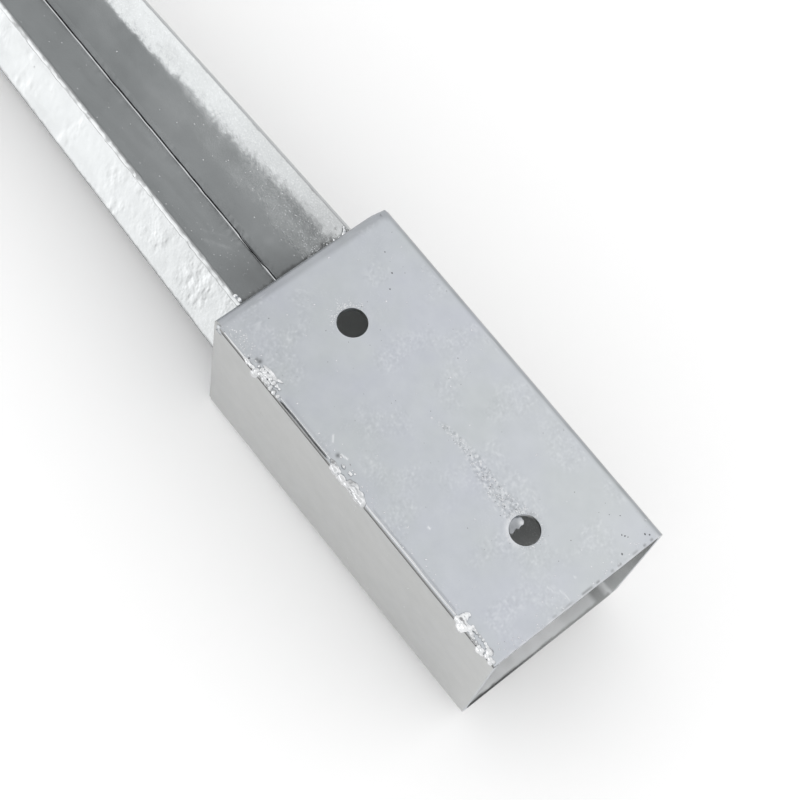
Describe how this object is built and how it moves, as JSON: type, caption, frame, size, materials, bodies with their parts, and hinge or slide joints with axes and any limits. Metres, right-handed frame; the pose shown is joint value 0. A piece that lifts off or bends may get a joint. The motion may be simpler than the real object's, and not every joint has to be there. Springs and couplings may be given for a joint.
{
  "type": "drive-in post spike",
  "caption": "Galvanised steel ground spike with a folded square socket for a timber post, welded to a tapered cross-shaped spike.",
  "frame": {"origin": "centre of the post's seat, on the inner face of the socket's end plate", "axes": "+X along the spike, out of the socket's mouth; +Z out of the drilled front wall; the corner seam is at -Y, +Z"},
  "size_m": [0.75, 0.0768, 0.0768],
  "materials": {
    "galvanised_sheet": "hot-dip galvanised, satin, with small pits and pimples",
    "galvanised_fin": "hot-dip galvanised, satin, rough and lumpy in places",
    "galvanised_weld": "hot-dip galvanised weld, bright and lumpy"
  },
  "bodies": {
    "root": {"socket": "galvanised_sheet", "spike_left": "galvanised_fin", "spike_right": "galvanised_fin", "seam_welds": "galvanised_weld", "spike_welds": "galvanised_weld", "spine_runs": "galvanised_weld"}
  },
  "joints": []
}
